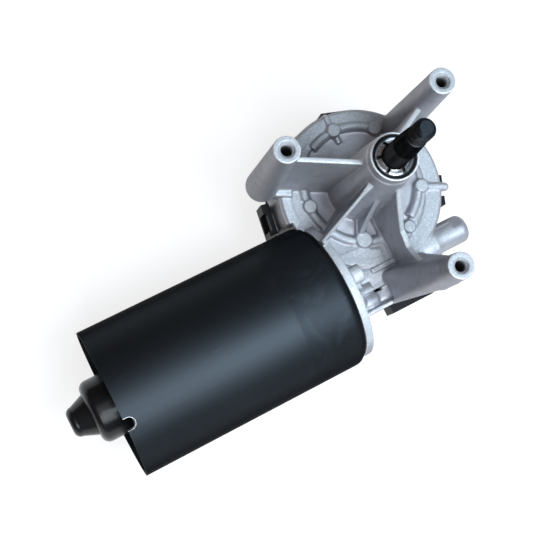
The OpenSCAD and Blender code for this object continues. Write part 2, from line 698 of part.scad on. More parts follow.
// Turned shaft: rear journal, core seat, worm neck and front journal
module armature_shaft() color("lightgray")
  on_motor_axis(0) rotate_extrude() polygon([[0, rear_journal_x + 1], [motor_shaft_r - 1, rear_journal_x + 1],
    [motor_shaft_r - 1, cap_x + 3], [motor_shaft_r, cap_x + 3], [motor_shaft_r, worm_neck_x],
    [motor_shaft_r - 0.6, worm_neck_x + 0.6], [motor_shaft_r - 0.6, shaft_end_x - 1.5], [0, shaft_end_x - 1.5]]);

// Cross-section of a worm with one thread, cut square to its axis.
// The thread is a trapezoid in the axial section, so its flank falls off evenly with the turn.
function worm_edge(a) =
  let (crest = 360 * (thread_lead / 2 - backlash / 2 - 2 * addendum * tan(20)) / thread_lead / 2,
       flank = 360 * (addendum + dedendum) * tan(20) / thread_lead,
       off = abs(a > 180 ? a - 360 : a))
  off < crest ? worm_tip_r : off < crest + flank
    ? worm_tip_r - (addendum + dedendum) * (off - crest) / flank : worm_root_r;

module worm() color("silver") {
  turns = worm_len / thread_lead;
  on_motor_axis(-worm_half) difference() {
    rotate([0, 0, 90 - 180 * turns])
      linear_extrude(height = worm_len, twist = -360 * turns, slices = 9 * turns, $fn = 24)
        polygon([for (a = [0 : 15 : 345]) worm_edge(a) * [cos(a), sin(a)]]);
    translate([0, 0, -1]) cylinder(r = worm_core_r, h = worm_len + 2);
  }
}

module armature_core() color("slategray") {
  tooth = 360 / core_slots;
  on_motor_axis(core_x) linear_extrude(height = core_len) difference() {
    circle(r = core_r);
    circle(r = motor_shaft_r + 0.02);
    for (i = [0 : core_slots - 1]) rotate(i * tooth) {
      translate([core_r - 7, 0]) circle(r = 4.2);
      translate([core_r - 14, 0]) circle(r = 2.4);
      translate([core_r - 7, -1.2]) square([8, 2.4]);
    }
  }
}

// The end turns of the winding, one ring of loops at each end of the core
module armature_windings() color("chocolate")
  for (x = [core_x - winding_h, core_x + core_len]) on_motor_axis(x) difference() {
    rotate_extrude() polygon([[motor_shaft_r + 3, 0], [core_r - 5, 0], [core_r - 2, 3], [core_r - 2, winding_h],
      [motor_shaft_r + 3, winding_h]]);
    for (i = [0 : core_slots - 1]) rotate([0, 0, (i + 0.5) * 360 / core_slots]) translate([core_r - 1, 0, -1])
      cylinder(r = 2, h = winding_h + 2, $fn = 24);
  }

module commutator() color("#b5713a")
  on_motor_axis(comm_x) difference() {
    union() {
      cylinder(r = comm_r, h = comm_len);
      cylinder(r = comm_r + 1.6, h = 2.4);
    }
    translate([0, 0, -1]) cylinder(r = motor_shaft_r + 0.02, h = comm_len + 2);
    for (i = [0 : core_slots - 1]) rotate([0, 0, i * 360 / core_slots]) translate([comm_r - 1, -0.3, -1]) cube([4, 0.6, comm_len + 2]);
  }

module thrust_ball() color("silver")
  on_motor_axis(shaft_end_x - 1.5 + ball_r) sphere(r = ball_r, $fn = 48);

// Output shaft: threaded tip, knurled cone, long plain part and the seat of the wheel
module output_shaft() color("#1d1e20")
  rotate_extrude() polygon([[0, shaft_foot], [shaft_r - 1.2, shaft_foot], [shaft_r - 1.2, carrier_z - 1.2], [shaft_r, carrier_z - 1.2],
    [shaft_r, cone_start], [cone_top_r, thread_start - 1.6], [shaft_thread_r - 0.5, thread_start - 1.2],
    [shaft_thread_r - 0.5, thread_start], [shaft_thread_r, thread_start + 0.6], [shaft_thread_r, shaft_tip - 1.8],
    [shaft_thread_r - 1.5, shaft_tip], [0, shaft_tip]]);

// One tooth of the wheel, square to the wheel's axis, its middle on +X
function tooth_edge() =
  let (pitch_half = (PI * gear_module / 2 - backlash / 2) / 2,
       tip_half = pitch_half - addendum * tan(20), root_half = pitch_half + dedendum * tan(20))
  [[wheel_root_r, -root_half], [wheel_tip_r, -tip_half], [wheel_tip_r, tip_half], [wheel_root_r, root_half]];

module wheel_outline() {
  step = 360 / wheel_teeth;
  edge = tooth_edge();
  polygon([for (i = [0 : wheel_teeth - 1]) for (p = edge)
    let (a = i * step + atan2(p[1], p[0]), r = norm(p)) [r * cos(a), r * sin(a)]]);
}

module worm_wheel() color("ivory") {
  // At the motor axis a gap between two teeth faces the worm
  turn = -90 + 180 / wheel_teeth;
  translate([0, 0, axis_z]) rotate([0, 0, turn]) difference() {
    translate([0, 0, -wheel_w / 2]) rotate([0, 0, -wheel_twist / 2])
      linear_extrude(height = wheel_w, twist = -wheel_twist, slices = 3) wheel_outline();
    translate([0, 0, -wheel_w / 2 - 1]) cylinder(r = carrier_r + 0.02, h = wheel_w + 2);
    translate([0, 0, wheel_w / 2 - 3]) ring(wheel_root_r - 3, carrier_r + 4, 4);
  }
}

// Steel plate that carries the plastic wheel on the shaft
module wheel_carrier() color("silver")
  translate([0, 0, carrier_z]) difference() {
    union() {
      cylinder(r = carrier_r, h = carrier_t);
      cylinder(r = shaft_r + 4, h = wheel_w);
    }
    translate([0, 0, -1]) cylinder(r = shaft_r + 0.02, h = wheel_w + 2);
    for (a = [0 : 60 : 300]) rotate([0, 0, a]) translate([15.5, 0, -1]) cylinder(r = 2.6, h = carrier_t + 2);
  }

// Copper disc under the wheel, cut back on one side to mark the park place
module park_disc() color("#c98743")
  translate([0, 0, carrier_z - 1]) difference() {
    cylinder(r = park_disc_r, h = 1);
    translate([0, 0, -1]) cylinder(r = shaft_r + 1.8, h = 3);
    rotate([0, 0, 20]) rotate_extrude(angle = 40) translate([park_disc_r - 7, -1]) square([5, 3]);
  }

module thrust_washer() color("silver")
  translate([0, 0, carrier_z + wheel_w]) ring(shaft_r + 4, shaft_r + 0.02, roof_z - carrier_z - wheel_w - 0.3);

// Push-on washer with springy teeth that bite the shaft
module star_washer() color("whitesmoke")
  translate([0, 0, pocket_z + pocket_depth - washer_t - 0.9]) difference() {
    rotate_extrude() polygon([[shaft_r + 0.02, 0.9], [8.2, 0], [pocket_r - 0.9, 0], [pocket_r - 0.9, washer_t],
      [8.2, washer_t], [shaft_r + 0.02, 0.9 + washer_t]]);
    for (a = [0 : 45 : 315]) rotate([0, 0, a]) translate([shaft_r - 1, -0.6, -1]) cube([2.8, 1.2, 4]);
  }

gear_housing();
upper_bush();
lower_bush();
shaft_seal();
motor_can();
rear_cover();
rear_bearing();
front_bearing();
bearing_retainer();
magnets();
magnet_clips();
brush_plate();
brush_holders();
brushes();
brush_springs();
through_bolts();
gear_cover();
cover_gasket();
cover_screws();
park_contacts();
socket_pins();
thrust_pad();
worm_end_bush();
armature_shaft();
worm();
armature_core();
armature_windings();
commutator();
thrust_ball();
output_shaft();
worm_wheel();
wheel_carrier();
park_disc();
thrust_washer();
star_washer();
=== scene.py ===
"""Wiper motor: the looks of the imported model, set up as in the photograph."""

import json
import math

import bmesh
import bpy
from mathutils import Matrix, Vector

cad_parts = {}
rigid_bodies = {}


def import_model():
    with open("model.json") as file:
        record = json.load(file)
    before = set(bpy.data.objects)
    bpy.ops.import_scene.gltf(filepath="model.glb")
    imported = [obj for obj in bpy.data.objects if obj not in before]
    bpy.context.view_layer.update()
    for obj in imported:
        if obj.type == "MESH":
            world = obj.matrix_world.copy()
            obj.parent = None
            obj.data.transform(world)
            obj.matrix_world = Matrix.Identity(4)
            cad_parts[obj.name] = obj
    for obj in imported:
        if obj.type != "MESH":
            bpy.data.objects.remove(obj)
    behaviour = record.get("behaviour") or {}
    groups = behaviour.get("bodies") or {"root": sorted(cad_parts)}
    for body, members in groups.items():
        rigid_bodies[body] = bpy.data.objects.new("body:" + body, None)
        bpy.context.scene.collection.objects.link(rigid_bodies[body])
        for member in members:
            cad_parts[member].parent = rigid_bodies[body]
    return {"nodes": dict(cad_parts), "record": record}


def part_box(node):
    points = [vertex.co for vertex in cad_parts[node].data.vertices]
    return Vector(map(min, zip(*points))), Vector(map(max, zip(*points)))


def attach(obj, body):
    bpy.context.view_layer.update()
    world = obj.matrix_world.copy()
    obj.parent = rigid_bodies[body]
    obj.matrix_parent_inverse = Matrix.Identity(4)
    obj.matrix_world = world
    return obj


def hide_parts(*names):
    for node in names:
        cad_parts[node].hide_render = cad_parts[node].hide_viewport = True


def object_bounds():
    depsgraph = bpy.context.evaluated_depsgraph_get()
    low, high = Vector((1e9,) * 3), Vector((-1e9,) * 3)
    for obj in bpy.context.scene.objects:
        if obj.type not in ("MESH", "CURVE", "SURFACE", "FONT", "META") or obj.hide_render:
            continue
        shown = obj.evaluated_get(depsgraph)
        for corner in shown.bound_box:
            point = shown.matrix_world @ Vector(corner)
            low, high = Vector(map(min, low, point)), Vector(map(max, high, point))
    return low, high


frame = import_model()
cad_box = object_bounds()
scene = bpy.context.scene
nodes = frame["nodes"]

MM = 0.001

# Sizes that the solids also have, in metres
AXIS_Y = -42.275 * MM
AXIS_Z = -86.6 * MM
CAN_REAR = -165 * MM
NOTCH_ANGLE = math.radians(198.5)
NOTCH_HALF = 3.2 * MM
NOTCH_DEPTH = 5 * MM
TAP_R = 3.4 * MM
TAP_PITCH = 1.25 * MM
SHAFT_R = 6.2 * MM
SHAFT_TIP = 38.4 * MM
THREAD_R = 4.95 * MM
THREAD_LEN = 12 * MM
THREAD_PITCH = 1.5 * MM
CONE_LEN = 18 * MM
CONE_TOP_R = 5.35 * MM

# The same in millimetres: the posts, the drum, and the ring of ribs and pads on its roof. The spans are in degrees
POSTS = {"a": (-48.0, 23.0), "b": (35.5, 21.7), "c": (0.8, -59.6)}
DRUM = (-0.3, -0.8)
DRUM_R = 41
RING = (2.4, 2.4)
RING_R = 31.8
RIB_SPANS = ((146, 172), (178, 205), (213, 242), (250, 270), (300, 333), (52, 84), (92, 119))
PADS = (
    (-28.8, 2.7, 3.2), (1.8, 34, 3.2), (23.1, 25.9, 3.2), (31.6, -13, 3.2), (-11, -25.3, 4), (14.9, -29.8, 3))
WEB_SPAN = (206, 14, 41)

# Fuller forms on the roof, in millimetres. A block has the height of its underside and the corners of its top
RIB_R = 2.8
RIB_Z = -74.6
PAD_EXTRA = 0.45
PAD_TOP = -71.0
RELIEF_FOOT = -76.5
SHELF_INNER = -73.7
SHELF_OUTER = -72.7
WORM_SLOPE = (
    -77, ((-27, -26, -72.9), (-3, -26, -72.9), (2, -42, -74.2), (-14.6, -42, -74.5), (-26, -35, -74.3)))
BLASTED_PANEL = (
    -77, ((-25.4, -27.2, -72.5), (-16.4, -27.7, -72.5), (-5.1, -32.9, -72.5), (-5.6, -36.0, -72.7),
          (-8.9, -37.4, -72.8), (-16.2, -34.4, -72.8), (-23.5, -30.6, -72.7)))
ISLAND_SLOPE = (-84, ((-34, -60.4, -75.4), (-9.4, -60.4, -75.4), (-9.4, -58.6, -77.8), (-34, -58.6, -77.8)))
POCKET_END = (-84, ((-13, -60, -77.6), (-8.6, -60, -76.4), (-8.6, -50.5, -76.4), (-13, -50.5, -77.6)))
# A boss has its Y and Z, and its radius at each X
BOLT_BOSS = (-50.6, -78.4, ((-38, 7.4), (-26.2, 7.4), (-25, 6.6)))
LEAD_BOSS = (-55.4, -80.0, ((-38, 5.4), (-22, 5.4), (-18, 4.4), (-15.2, 1.8)))
BORE_ROOM = 11.6

CASTING_FULL = (0.00048, 5, 0.24)

# Details that only this scene has. The washer's slots are in degrees
SLEEVE_X = -69 * MM
KNURLS = 54
KNURL_RIDGE = 0.34 * MM
THREAD_TURNS = 6.4
THREAD_RIDGE = 0.6 * MM
TAP_TURNS = 13
TAP_RIDGE = 0.62 * MM
TONGUES = 6
FIRST_SLOT = 98
SLOT_HALF = 6.5


# Shader sockets and nodes


class Wire:
    """A socket that takes part in sums, so that masks are written as plain arithmetic."""

    def __init__(self, finish, socket):
        self.finish, self.socket = finish, socket

    def sum(self, operation, *others):
        values = dict(enumerate((self, *others)))
        return self.finish.node("ShaderNodeMath", {"operation": operation}, values)

    def __add__(self, other):
        return self.sum("ADD", other)

    __radd__ = __add__

    def __sub__(self, other):
        return self.sum("SUBTRACT", other)

    def __rsub__(self, other):
        return self.finish.node("ShaderNodeMath", {"operation": "SUBTRACT"}, {0: other, 1: self})

    def __mul__(self, other):
        return self.sum("MULTIPLY", other)

    def __pow__(self, other):
        return self.sum("POWER", other)

    def __abs__(self):
        return self.sum("ABSOLUTE")

    def at_least(self, other):
        return self.sum("MAXIMUM", other)

    def at_most(self, other):
        return self.sum("MINIMUM", other)

    def ramp(self, low, high):
        """0 below low and 1 above high, with soft ends; low may be the larger one."""
        if low > high:
            return 1 - self.ramp(high, low)
        settings = {"interpolation_type": "SMOOTHSTEP"}
        return self.finish.node("ShaderNodeMapRange", settings, {0: self, 1: low, 2: high})

    def near(self, value, width):
        """1 at the value, falling to 0 at the given distance from it."""
        return abs(self - value).ramp(width, 0.0)


class Finish:
    """A surface finish: a material, and short ways to the nodes that it is made of."""

    def __init__(self, name, tree=None):
        """Starts a new material, or empties the tree that is given."""
        if tree is None:
            self.material = bpy.data.materials.new(name)
            self.material.use_nodes = True
            tree = self.material.node_tree
        self.tree = tree
        self.tree.nodes.clear()

    def node(self, kind, settings=None, sockets=None, out=0):
        """Adds a node, sets or links its inputs, and returns one of its outputs."""
        made = self.tree.nodes.new(kind)
        for key, value in (settings or {}).items():
            setattr(made, key, value)
        for key, value in (sockets or {}).items():
            socket = made.inputs[key]
            if isinstance(value, Wire):
                self.tree.links.new(value.socket, socket)
            elif socket.type == "RGBA":
                socket.default_value = (*value, 1.0)
            else:
                socket.default_value = value
        return None if out is None else Wire(self, made.outputs[out])

    def place(self, out="Object"):
        """Where a point of the surface is, or which way it faces."""
        return self.node("ShaderNodeTexCoord", out=out)

    def axes(self, vector):
        """The X, Y and Z of a vector."""
        split = self.node("ShaderNodeSeparateXYZ", None, {0: vector})
        return [Wire(self, socket) for socket in split.socket.node.outputs]

    def spread(self, scale, detail=2.0, rough=0.5, warp=0.0):
        """Soft noise from 0 to 1; scale is in features per metre."""
        return self.node("ShaderNodeTexNoise", None, {
            "Vector": self.place(), "Scale": scale, "Detail": detail, "Roughness": rough, "Distortion": warp,
        })

    def cells(self, scale):
        """Distance to the nearest of many scattered points, in cells."""
        return self.node("ShaderNodeTexVoronoi", None, {"Vector": self.place(), "Scale": scale})

    def streaks(self, scale, detail, turn=(0, 0, 0)):
        """Noise drawn out to a different scale along each axis."""
        sockets = {"Vector": self.place(), "Scale": scale, "Rotation": turn}
        mapped = self.node("ShaderNodeMapping", None, sockets)
        return self.node("ShaderNodeTexNoise", None, {"Vector": mapped, "Scale": 1.0, "Detail": detail})

    def blend(self, mask, first, second):
        """The first colour where the mask is 0, the second where it is 1."""
        return self.node("ShaderNodeMix", {"data_type": "RGBA"}, {0: mask, 6: first, 7: second}, out=2)

    def bump(self, height, depth, strength=1.0, under=None):
        """Height from 0 to 1 stands for the depth in metres."""
        sockets = {"Height": height, "Distance": depth, "Strength": strength}
        if under is not None:
            sockets["Normal"] = under
        return self.node("ShaderNodeBump", None, sockets)

    def surface(self, **sockets):
        """Ends the finish in one shader; an underscore in a name stands for a space."""
        named = {key.replace("_", " "): value for key, value in sockets.items()}
        shader = self.node("ShaderNodeBsdfPrincipled", None, named)
        self.node("ShaderNodeOutputMaterial", None, {"Surface": shader}, out=None)
        return self.material


# Finishes


def die_cast():
    """Aluminium casting: grit-blasted flats and smoother drawn walls, with a painted highlight on convex edges and
    web tops, painted shade in concave corners, and painted shade down the post holes.
    """
    f = Finish("die_cast")
    x, y, z = f.axes(f.place())
    facing = f.axes(f.place("Normal"))[2]
    cloud = f.spread(45, 3)
    blotch = f.spread(150, 4, 0.6)
    patch = f.spread(95, 2).ramp(0.52, 0.60)
    level = (z + blotch * 0.0004).ramp(-0.0734, -0.0730)
    # Sloping web tops high on the roof: they take the lighter flat colour and a share of the painted highlight
    tops = facing.ramp(0.42, 0.58) * z.ramp(-0.070, -0.067)
    flats = (facing.ramp(0.82, 0.97) * level.at_least(patch * 0.55)).at_least(tops)
    grit = f.spread(1150, 3, 0.75)
    fine = f.spread(3200, 2, 0.7)
    pits = f.cells(1300).ramp(0.30, 0.05) * f.spread(600, 1).ramp(0.50, 0.60)
    point = f.node("ShaderNodeNewGeometry", out="Pointiness")
    # Painted highlight on convex edges, found by pointiness
    ridge = point.ramp(0.512, 0.55) * (0.55 + blotch * 0.6)
    # Painted shade in concave corners, found by pointiness
    corner = point.ramp(0.488, 0.44)
    # Painted shade down the post holes: near each post axis, from 1.2 mm below the top, the colour goes nearly
    # black
    to_posts = [((x - px * MM) ** 2 + (y - py * MM) ** 2) ** 0.5 for px, py in POSTS.values()]
    hole = to_posts[0].at_most(to_posts[1]).at_most(to_posts[2]).ramp(0.0042, 0.0038)
    bore_shade = hole * z.ramp(-0.0012, -0.0045) * z.ramp(-0.027, -0.025)
    wall = f.blend(cloud, (0.43, 0.43, 0.465), (0.54, 0.54, 0.57))
    wall = f.blend(blotch.ramp(0.45, 0.75) * 0.45, wall, (0.30, 0.30, 0.315))
    wall = f.blend(grit.ramp(0.50, 0.78) * 0.40, wall, (0.66, 0.67, 0.70))
    flat = f.blend(cloud, (0.45, 0.475, 0.505), (0.56, 0.585, 0.61))
    flat = f.blend(grit.ramp(0.48, 0.70) * 0.65, flat, (0.88, 0.90, 0.92))
    flat = f.blend(grit.ramp(0.44, 0.26) * 0.50, flat, (0.30, 0.32, 0.34))
    colour = f.blend(flats, wall, flat)
    # Painted shade in the concave corners
    colour = f.blend(corner * 0.30, colour, (0.22, 0.215, 0.22))
    # Painted highlight on convex edges and on the web tops
    bright = ridge.at_least(tops * 0.3 * z.ramp(-0.006, -0.012))
    colour = f.blend(bright, colour, (0.88, 0.89, 0.91))
    colour = f.blend(pits * 0.4, colour, (0.16, 0.16, 0.165))
    # Painted shade down the post holes
    colour = f.blend(bore_shade * 0.9, colour, (0.03, 0.031, 0.034))
    rough = 0.36 + flats * 0.16 + blotch * 0.12 - ridge * 0.12
    height = grit * (0.45 + flats * 0.9) + fine * 0.4 - pits
    normal = f.bump(height, 0.00022, 0.7, f.bump(blotch, 0.0006, 0.4))
    metal = (0.60 + ridge * 0.3 - flats * 0.15) * (1 - bore_shade)
    return f.surface(
        Base_Color=colour, Metallic=metal, Roughness=rough, Specular_IOR_Level=0.30,
        Specular_Tint=(0.26, 0.25, 0.25), Normal=normal
    )


def turned_metal(
    name, light, dark, rough, metal=1.0, lines=3200, axis=2, depth=0.00003, stain=0.25, hole_shade=0.0
):
    """Turned or ground metal with fine tool lines round one axis; hole_shade paints shade that darkens it down a
    hole.
    """
    f = Finish(name)
    scale = [60, 60, 60]
    scale[axis] = lines
    tool = f.streaks(scale, 3.0)
    smear = f.spread(120, 3, 0.6)
    colour = f.blend(tool, dark, light)
    colour = f.blend(smear.ramp(0.5, 0.8) * stain, colour, [c * 0.45 for c in dark])
    # Painted shade: the colour goes nearly black from 1.5 mm to 6.5 mm down the hole
    if hole_shade:
        deep = f.axes(f.place())[2].ramp(-0.0015, -0.0065)
        colour = f.blend(deep * hole_shade, colour, (0.02, 0.021, 0.023))
    normal = f.bump(tool, depth, 0.6)
    return f.surface(Base_Color=colour, Metallic=metal, Roughness=rough + smear * 0.15, Normal=normal)


def plated(name, light, dark, rough=0.32):
    """Zinc or brass sheet: cloudy, finely scuffed."""
    f = Finish(name)
    cloud = f.spread(90, 4, 0.6)
    scuff = f.spread(900, 3, 0.7, warp=0.4)
    colour = f.blend(cloud, dark, light)
    colour = f.blend(scuff.ramp(0.6, 0.8) * 0.4, colour, [min(1.0, c * 1.3) for c in light])
    return f.surface(
        Base_Color=colour, Metallic=0.95, Roughness=rough + cloud * 0.16, Normal=f.bump(scuff, 0.00003, 0.4)
    )


def moulded(name, colour, speck, rough=0.5, grain=1800, depth=0.00005, coat=0.0, level=0.35):
    """Moulded plastic, rubber or pressed laminate with a fine skin."""
    f = Finish(name)
    cloud = f.spread(60, 3)
    skin = f.spread(grain, 3, 0.6)
    base = f.blend(cloud, colour, [c * 1.25 + 0.004 for c in colour])
    base = f.blend(skin.ramp(0.62, 0.8) * 0.3, base, speck)
    return f.surface(
        Base_Color=base, Roughness=rough + cloud * 0.14 - skin * 0.08, Specular_IOR_Level=level,
        Coat_Weight=coat, Normal=f.bump(skin, depth, 0.5)
    )


def can_paint():
    """Satin black paint on the drawn can, with the line of its sleeve, smears and fine scratches."""
    f = Finish("can_paint")
    x, y, z = f.axes(f.place())
    cloud = f.spread(28, 3)
    dust = f.spread(5200, 2, 0.7)
    skin = f.spread(900, 2)
    hair = f.streaks((30, 700, 700), 4.0, (0.3, 0.2, 0.5))
    scratch = hair.ramp(0.70, 0.74) * f.spread(55, 1).ramp(0.52, 0.62)
    sleeve = x.near(SLEEVE_X, 0.0004)
    # The notch is a slot with a round end, and its sheared edge is bare
    across = (y - AXIS_Y) * math.cos(NOTCH_ANGLE) + (z - AXIS_Z) * math.sin(NOTCH_ANGLE)
    outward = (y - AXIS_Y) * math.sin(NOTCH_ANGLE) - (z - AXIS_Z) * math.cos(NOTCH_ANGLE)
    along = (x - (CAN_REAR + NOTCH_DEPTH - NOTCH_HALF)).at_least(0.0)
    edge = (across ** 2 + along ** 2) ** 0.5
    bare = edge.near(NOTCH_HALF, 0.0003) * outward.ramp(0.0, 0.01)
    paint = f.blend(cloud, (0.029, 0.034, 0.039), (0.040, 0.046, 0.052))
    smear = f.spread(42, 4, 0.65, warp=0.8).ramp(0.52, 0.68) * x.ramp(-0.085, -0.045)
    paint = f.blend(smear * 0.35, paint, (0.08, 0.095, 0.11))
    paint = f.blend(x.ramp(SLEEVE_X - 0.0004, SLEEVE_X + 0.0004) * 0.18, paint, (0.014, 0.016, 0.019))
    paint = f.blend(dust.ramp(0.66, 0.80) * 0.4, paint, (0.08, 0.10, 0.12))
    paint = f.blend(scratch * 0.25, paint, (0.13, 0.13, 0.135))
    colour = f.blend(bare * 0.9, paint, (0.62, 0.61, 0.60))
    height = skin * 0.5 + dust * 0.25 - sleeve * 0.25
    rough = 0.43 + cloud * 0.10 + x.ramp(SLEEVE_X, SLEEVE_X + 0.001) * 0.04 - bare * 0.1
    return f.surface(
        Base_Color=colour, Metallic=0.96, Roughness=rough, Specular_IOR_Level=0.2,
        Specular_Tint=(0.30, 0.27, 0.25), Normal=f.bump(height, 0.00008, 0.5)
    )


def cap_paint():
    """Thick gloss black on the rear cover."""
    f = Finish("cap_paint")
    cloud = f.spread(50, 3)
    peel = f.spread(420, 2)
    dust = f.spread(3600, 1)
    colour = f.blend(cloud, (0.005, 0.005, 0.0055), (0.009, 0.009, 0.010))
    colour = f.blend(dust.ramp(0.70, 0.82) * 0.3, colour, (0.09, 0.09, 0.095))
    return f.surface(
        Base_Color=colour, Roughness=0.20 + cloud * 0.10, Specular_IOR_Level=0.30, Coat_Weight=0.10,
        Coat_Roughness=0.08, Normal=f.bump(peel, 0.0001, 0.35)
    )


def phosphate():
    """Black phosphate on the output shaft: lighter and bluer on the outer part of its thread, a painted sheen on
    its end face, and thread crests rubbed to grey that also serve as a painted highlight.
    """
    f = Finish("phosphate")
    cloud = f.spread(130, 4, 0.6)
    fine = f.spread(2400, 3, 0.7)
    point = f.node("ShaderNodeNewGeometry", out="Pointiness")
    z = f.axes(f.place())[2]
    up = f.axes(f.place("Normal"))[2]
    # Thread crests rubbed to grey, which is also a painted highlight
    rub_and_glint = point.ramp(0.58, 0.68) * f.spread(500, 3).ramp(0.35, 0.62)
    colour = f.blend(cloud, (0.028, 0.028, 0.030), (0.040, 0.041, 0.044))
    colour = f.blend(z.ramp(0.032, 0.034), colour, (0.034, 0.039, 0.046))
    # Painted sheen: the end face, which faces up, is made lighter and bluer
    colour = f.blend(up.ramp(0.90, 0.98) * z.ramp(0.035, 0.037), colour, (0.050, 0.060, 0.072))
    colour = f.blend(rub_and_glint * z.ramp(0.026, 0.028) * 0.6, colour, (0.16, 0.17, 0.18))
    rough = 0.32 + cloud * 0.16 - rub_and_glint * 0.08
    return f.surface(
        Base_Color=colour, Metallic=0.95, Roughness=rough, Specular_IOR_Level=0.2,
        Specular_Tint=(0.3, 0.3, 0.3), Normal=f.bump(fine, 0.00004, 0.5)
    )


FINISHES = {
    "die_cast": die_cast(),
    "black_paint": can_paint(),
    "gloss_black": cap_paint(),
    "dark_steel": phosphate(),
    "bright_steel": turned_metal("bright_steel", (0.74, 0.75, 0.77), (0.56, 0.57, 0.59), 0.20),
    # The tap steel has painted shade down the post holes
    "tap_steel": turned_metal(
        "tap_steel", (0.70, 0.71, 0.73), (0.42, 0.43, 0.45), 0.34, metal=0.35, stain=0.4, hole_shade=0.95
    ),
    "zinc_steel": plated("zinc_steel", (0.72, 0.73, 0.76), (0.55, 0.56, 0.58)),
    "bronze": turned_metal("bronze", (0.62, 0.42, 0.22), (0.46, 0.29, 0.14), 0.36, stain=0.5),
    "ferrite": moulded("ferrite", (0.09, 0.09, 0.095), (0.20, 0.20, 0.21), 0.62, 900, 0.0001),
    "lamination": turned_metal(
        "lamination", (0.40, 0.42, 0.45), (0.24, 0.25, 0.27), 0.38, 0.9, 2000, 0, 0.0001
    ),
    "copper": turned_metal("copper", (0.74, 0.33, 0.15), (0.48, 0.19, 0.08), 0.28, 0.85, 900, 0, 0.0002),
    "commutator_bar": turned_metal(
        "commutator_bar", (0.80, 0.46, 0.26), (0.62, 0.32, 0.17), 0.24, lines=2600, axis=0
    ),
    "phenolic": moulded("phenolic", (0.22, 0.11, 0.05), (0.34, 0.20, 0.11), 0.42, 700, 0.00006, 0.1),
    "contact_brass": plated("contact_brass", (0.84, 0.66, 0.34), (0.66, 0.48, 0.20), 0.22),
    "carbon": moulded("carbon", (0.035, 0.035, 0.038), (0.13, 0.13, 0.135), 0.45, 2600, 0.00004),
    "black_plastic": moulded(
        "black_plastic", (0.008, 0.008, 0.009), (0.04, 0.04, 0.042), 0.46, 1500, 0.00012, level=0.14
    ),
    "white_plastic": moulded(
        "white_plastic", (0.76, 0.74, 0.67), (0.90, 0.89, 0.84), 0.38, 1100, 0.00005, 0.15
    ),
    "black_rubber": moulded(
        "black_rubber", (0.008, 0.008, 0.008), (0.03, 0.03, 0.03), 0.62, 1300, 0.00006, level=0.2
    ),
}


# Repeating shapes made by Geometry Nodes


def linked(name, data):
    """An object with the given mesh, lamp or camera, in the scene."""
    made = bpy.data.objects.new(name, data)
    scene.collection.objects.link(made)
    return made


class Recipe:
    """A Geometry Nodes tree with named inputs, built step by step."""

    def __init__(self, name, inputs):
        self.tree = bpy.data.node_groups.new(name, "GeometryNodeTree")
        self.ids = {}
        for label, kind in inputs:
            made = self.tree.interface.new_socket(label, in_out="INPUT", socket_type=kind)
            self.ids[label] = made.identifier
        self.tree.interface.new_socket("Geometry", in_out="OUTPUT", socket_type="NodeSocketGeometry")
        self.entry = self.tree.nodes.new("NodeGroupInput")

    def given(self, label):
        """The socket of a named input."""
        return self.entry.outputs[label]

    def step(self, kind, settings=None, sockets=None, out=0):
        """Adds a node, sets or links its inputs, and returns one of its outputs."""
        made = self.tree.nodes.new(kind)
        for key, value in (settings or {}).items():
            setattr(made, key, value)
        for key, value in (sockets or {}).items():
            if isinstance(value, bpy.types.NodeSocket):
                self.tree.links.new(value, made.inputs[key])
            else:
                made.inputs[key].default_value = value
        return made.outputs[out]

    def sum(self, operation, first, second=0.0):
        return self.step("ShaderNodeMath", {"operation": operation}, {0: first, 1: second})

    def ridge_along(self, curve):
        """A bar with four sides along a curve, with its ends closed."""
        sockets = {"Resolution": 4, "Radius": self.given("Ridge")}
        profile = self.step("GeometryNodeCurvePrimitiveCircle", {"mode": "RADIUS"}, sockets)
        sockets = {"Curve": curve, "Profile Curve": profile, "Fill Caps": True}
        return self.step("GeometryNodeCurveToMesh", None, sockets)

    def finish(self, geometry):
        """Ends the tree: real geometry with its material."""
        real = self.step("GeometryNodeRealizeInstances", None, {0: geometry})
        painted = self.step("GeometryNodeSetMaterial", None, {0: real, "Material": self.given("Finish")})
        output = self.tree.nodes.new("NodeGroupOutput")
        self.tree.links.new(painted, output.inputs[0])
        return self

    def make(self, name, values, place=Matrix.Identity(4)):
        """Runs the recipe and returns the result as a plain mesh object."""
        carrier = linked(name + "_maker", bpy.data.meshes.new(name + "_maker"))
        modifier = carrier.modifiers.new("recipe", "NODES")
        modifier.node_group = self.tree
        for label, value in values.items():
            modifier[self.ids[label]] = value
        bpy.context.view_layer.update()
        graph = bpy.context.evaluated_depsgraph_get()
        mesh = bpy.data.meshes.new_from_object(carrier.evaluated_get(graph))
        bpy.data.objects.remove(carrier)
        mesh.transform(place)
        mesh.name = name
        return linked(name, mesh)


def screw_thread():
    """A ridge that winds round Z: a square on its corner, swept along a helix."""
    r = Recipe("screw_thread", [
        ("Radius", "NodeSocketFloat"), ("Height", "NodeSocketFloat"), ("Turns", "NodeSocketFloat"),
        ("Ridge", "NodeSocketFloat"), ("Finish", "NodeSocketMaterial"),
    ])
    radius = r.given("Radius")
    helix = r.step("GeometryNodeCurveSpiral", None, {
        "Resolution": 48, "Rotations": r.given("Turns"), "Start Radius": radius, "End Radius": radius,
        "Height": r.given("Height"),
    })
    helix = r.step("GeometryNodeSetCurveNormal", {"mode": "Z_UP"}, {0: helix})
    return r.finish(r.ridge_along(helix))


